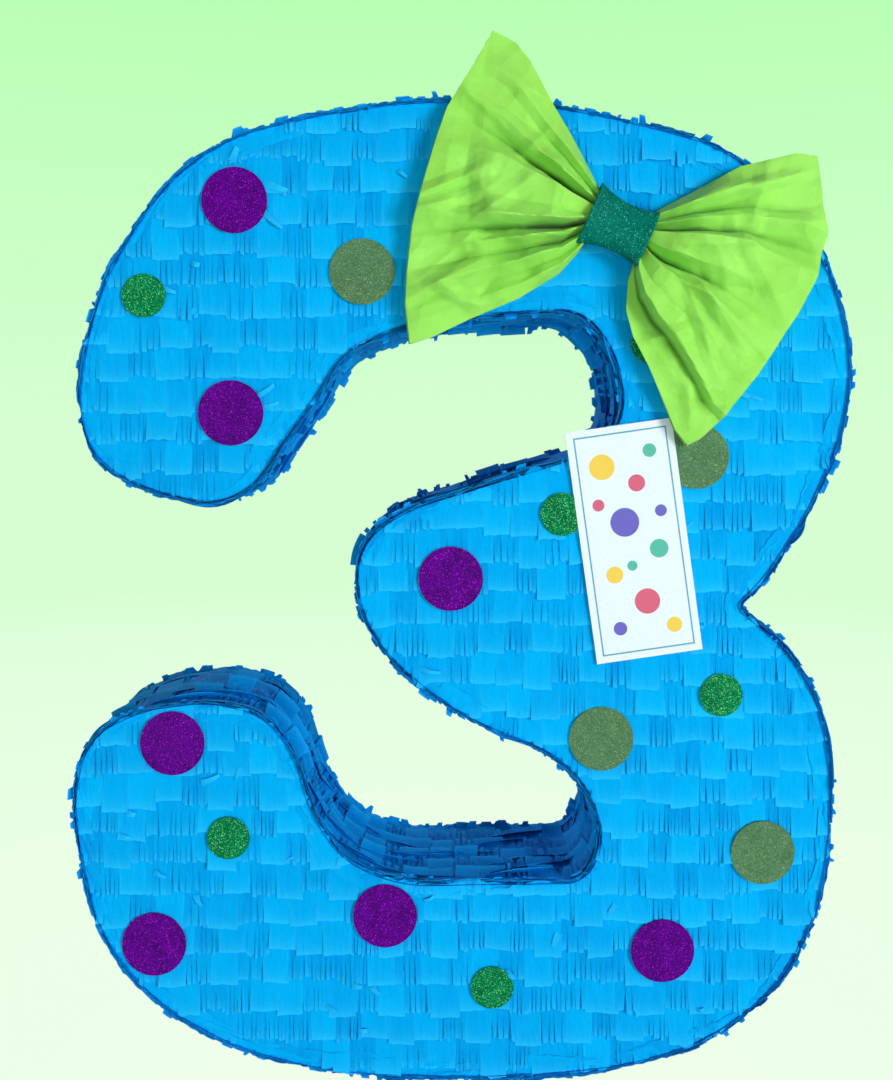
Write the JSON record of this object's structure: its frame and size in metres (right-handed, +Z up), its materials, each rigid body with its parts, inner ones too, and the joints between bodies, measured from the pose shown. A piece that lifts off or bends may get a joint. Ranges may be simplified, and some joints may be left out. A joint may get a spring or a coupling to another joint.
{
  "type": "number pinata",
  "caption": "Hollow cardboard pinata shaped like a digit, covered in rows of tissue fringe, with glitter dots, a gathered paper bow, a plain card, a hang hole and a rear fill flap.",
  "frame": {"origin": "centre of the hang hole on the outer face of the top wall, half-way through the depth", "axes": "+X to the figure's right seen from the front, +Y to the back, +Z up out of the hang hole"},
  "size_m": [0.4589, 0.13, 0.617],
  "materials": {
    "kraft_board": "brown corrugated board",
    "tissue_blue": "bright blue tissue, cut into fringe",
    "tissue_blue_side": "the same blue tissue, glued edge-on in strips along the walls",
    "glitter_purple": "purple glitter card",
    "glitter_olive": "olive green glitter card",
    "glitter_emerald": "emerald glitter card",
    "tissue_green": "creased lime green tissue",
    "glitter_band": "dark green glitter paper",
    "plain_card": "smooth pale card",
    "paper_tape": "kraft paper tape",
    "dowel": "plain wood"
  },
  "bodies": {
    "shell": {"front_panel": "kraft_board", "back_panel": "kraft_board", "hanger_plate": "kraft_board", "wall_top": "kraft_board", "wall_bowl": "kraft_board", "wall_belly": "kraft_board", "wall_base": "kraft_board", "wall_foot": "kraft_board", "wall_lower_bay": "kraft_board", "wall_nose": "kraft_board", "wall_upper_bay": "kraft_board", "wall_hook": "kraft_board", "front_fringe": "tissue_blue", "back_fringe": "tissue_blue", "fringe_top": "tissue_blue_side", "fringe_bowl": "tissue_blue_side", "fringe_belly": "tissue_blue_side", "fringe_base": "tissue_blue_side", "fringe_foot": "tissue_blue_side", "fringe_lower_bay": "tissue_blue_side", "fringe_nose": "tissue_blue_side", "fringe_upper_bay": "tissue_blue_side", "fringe_hook": "tissue_blue_side", "seam_tape_front": "paper_tape", "seam_tape_back": "paper_tape", "stick_tape_front": "paper_tape", "stick_tape_back": "paper_tape", "hanger_stick": "dowel", "dot_purple_hook_top": "glitter_purple", "dot_purple_hook_low": "glitter_purple", "dot_purple_nose": "glitter_purple", "dot_purple_foot": "glitter_purple", "dot_purple_heel": "glitter_purple", "dot_purple_base": "glitter_purple", "dot_purple_belly": "glitter_purple", "dot_olive_hook": "glitter_olive", "dot_olive_neck": "glitter_olive", "dot_olive_waist": "glitter_olive", "dot_olive_belly": "glitter_olive", "dot_emerald_hook": "glitter_emerald", "dot_emerald_bowl": "glitter_emerald", "dot_emerald_neck": "glitter_emerald", "dot_emerald_waist": "glitter_emerald", "dot_emerald_foot": "glitter_emerald", "dot_emerald_base": "glitter_emerald", "label_card": "plain_card", "label_tape": "paper_tape", "bow_paper": "tissue_green", "bow_band": "glitter_band"},
    "flap": {"fill_flap": "kraft_board", "flap_fringe": "tissue_blue"}
  },
  "joints": [
    {"name": "fill_flap_hinge", "type": "hinge", "parent": "shell", "child": "flap", "pos_m": [0.14, 0.05, -0.09], "axis": [1, 0, 0], "range_deg": [0, 105]}
  ]
}
